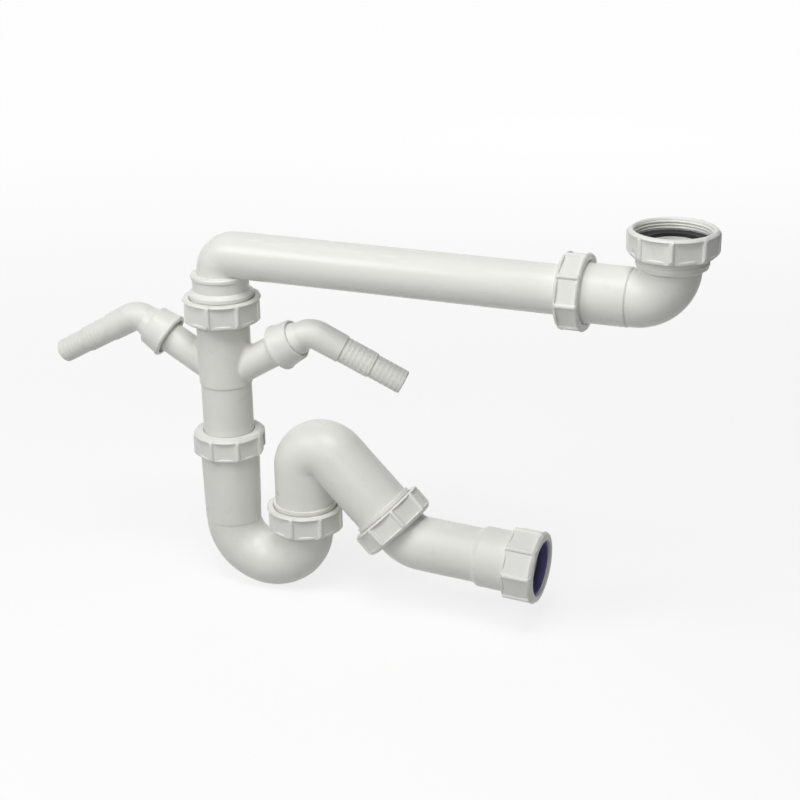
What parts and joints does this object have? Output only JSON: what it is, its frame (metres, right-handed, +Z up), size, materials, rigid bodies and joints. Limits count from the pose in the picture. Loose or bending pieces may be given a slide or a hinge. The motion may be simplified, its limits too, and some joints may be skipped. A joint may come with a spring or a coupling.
{
  "type": "sink trap",
  "caption": "White plastic sink trap with a long bent inlet pipe, a tee with hose nozzles, a swivelling U-bend and a swan-neck outlet, joined by ribbed compression nuts.",
  "frame": {"origin": "middle of the inlet washer's upper face, where the sink's outlet seats in the inlet nut", "axes": "+Z up out of the inlet nut, +X from the tee to the inlet, the long pipe, trap and outlet in the XZ plane"},
  "size_m": [0.5896, 0.0696, 0.3627],
  "materials": {
    "fitting_plastic": "satin gloss moulded",
    "pipe_plastic": "gloss extruded",
    "nut_plastic": "satin gloss moulded",
    "slip_plastic": "matte moulded",
    "washer_rubber": "matte moulded rubber",
    "seal_rubber": "matte moulded rubber"
  },
  "bodies": {
    "sink_coupling": {"inlet_nut": "nut_plastic", "inlet_washer": "washer_rubber"},
    "elbow": {"inlet_elbow": "fitting_plastic", "elbow_seal": "seal_rubber"},
    "elbow_ring_nut": {"elbow_nut": "nut_plastic"},
    "elbow_ring": {"elbow_slip_washer": "slip_plastic"},
    "pipe": {"bent_pipe": "pipe_plastic", "tee_seal": "seal_rubber", "tee_slip_washer": "slip_plastic"},
    "tee_ring_nut": {"tee_nut": "nut_plastic"},
    "tee": {"tee_piece": "fitting_plastic"},
    "right_collar": {"right_nozzle_nut": "nut_plastic"},
    "right_spout": {"right_nozzle": "fitting_plastic", "right_nozzle_washer": "washer_rubber"},
    "left_collar": {"left_nozzle_nut": "nut_plastic"},
    "left_spout": {"left_nozzle": "fitting_plastic", "left_nozzle_washer": "washer_rubber"},
    "trap_ring": {"trap_slip_washer": "slip_plastic"},
    "trap": {"u_bend": "fitting_plastic", "trap_seal": "seal_rubber"},
    "trap_ring_nut": {"trap_nut": "nut_plastic"},
    "neck": {"swan_neck": "fitting_plastic", "neck_seal": "seal_rubber", "neck_slip_washer": "slip_plastic", "arm_seal": "seal_rubber", "arm_slip_washer": "slip_plastic"},
    "neck_ring_nut": {"neck_nut": "nut_plastic"},
    "arm_ring_nut": {"arm_nut": "nut_plastic"},
    "outlet": {"outlet_elbow": "fitting_plastic", "outlet_seal": "seal_rubber", "outlet_slip_washer": "seal_rubber"},
    "outlet_ring_nut": {"outlet_nut": "nut_plastic"}
  },
  "joints": [
    {"name": "elbow_swivel", "type": "hinge", "parent": "sink_coupling", "child": "elbow", "pos_m": [0, 0, 0], "axis": [0, 0, 1], "continuous": true},
    {"name": "elbow_nut_turn", "type": "hinge", "parent": "elbow", "child": "elbow_ring_nut", "pos_m": [-0.076, 0, -0.0485], "axis": [1, 0, 0], "continuous": true},
    {"name": "pipe_roll", "type": "hinge", "parent": "elbow", "child": "elbow_ring", "pos_m": [-0.086, 0, -0.0485], "axis": [1, 0, 0], "range_deg": [-90, 90]},
    {"name": "pipe_slide", "type": "slide", "parent": "elbow_ring", "child": "pipe", "axis": [1, 0, 0], "range_m": [-0.015, 0.012]},
    {"name": "tee_nut_turn", "type": "hinge", "parent": "pipe", "child": "tee_ring_nut", "pos_m": [-0.39, 0, -0.1075], "axis": [0, 0, 1], "continuous": true},
    {"name": "tee_swivel", "type": "hinge", "parent": "pipe", "child": "tee", "pos_m": [-0.39, 0, -0.1075], "axis": [0, 0, 1], "continuous": true},
    {"name": "right_collar_turn", "type": "hinge", "parent": "tee", "child": "right_collar", "pos_m": [-0.32169, 0.00358, -0.1184], "axis": [0.856, 0.0449, 0.515], "continuous": true},
    {"name": "right_spout_swivel", "type": "hinge", "parent": "tee", "child": "right_spout", "pos_m": [-0.32169, 0.00358, -0.1184], "axis": [0.856, 0.0449, 0.515], "range_deg": [-90, 90]},
    {"name": "left_collar_turn", "type": "hinge", "parent": "tee", "child": "left_collar", "pos_m": [-0.45831, -0.00358, -0.1184], "axis": [-0.856, -0.0449, 0.515], "continuous": true},
    {"name": "left_spout_swivel", "type": "hinge", "parent": "tee", "child": "left_spout", "pos_m": [-0.45831, -0.00358, -0.1184], "axis": [-0.856, -0.0449, 0.515], "range_deg": [-90, 90]},
    {"name": "trap_slide", "type": "slide", "parent": "tee", "child": "trap_ring", "axis": [0, 0, 1], "range_m": [-0.015, 0.012]},
    {"name": "trap_swivel", "type": "hinge", "parent": "trap_ring", "child": "trap", "pos_m": [-0.39, 0, -0.209], "axis": [0, 0, 1], "continuous": true},
    {"name": "trap_nut_turn", "type": "hinge", "parent": "trap", "child": "trap_ring_nut", "pos_m": [-0.39, 0, -0.209], "axis": [0, 0, 1], "continuous": true},
    {"name": "neck_swivel", "type": "hinge", "parent": "trap", "child": "neck", "pos_m": [-0.318, 0, -0.292], "axis": [0, 0, 1], "range_deg": [-110, 110]},
    {"name": "neck_nut_turn", "type": "hinge", "parent": "neck", "child": "neck_ring_nut", "pos_m": [-0.318, 0, -0.292], "axis": [0, 0, 1], "continuous": true},
    {"name": "arm_nut_turn", "type": "hinge", "parent": "neck", "child": "arm_ring_nut", "pos_m": [-0.22667, 0, -0.28117], "axis": [0.7071, 0, -0.7071], "continuous": true},
    {"name": "outlet_swivel", "type": "hinge", "parent": "neck", "child": "outlet", "pos_m": [-0.22667, 0, -0.28117], "axis": [0.7071, 0, -0.7071], "continuous": true},
    {"name": "outlet_nut_turn", "type": "hinge", "parent": "outlet", "child": "outlet_ring_nut", "pos_m": [-0.09935, 0, -0.29489], "axis": [0.999, 0, -0.0436], "continuous": true}
  ]
}
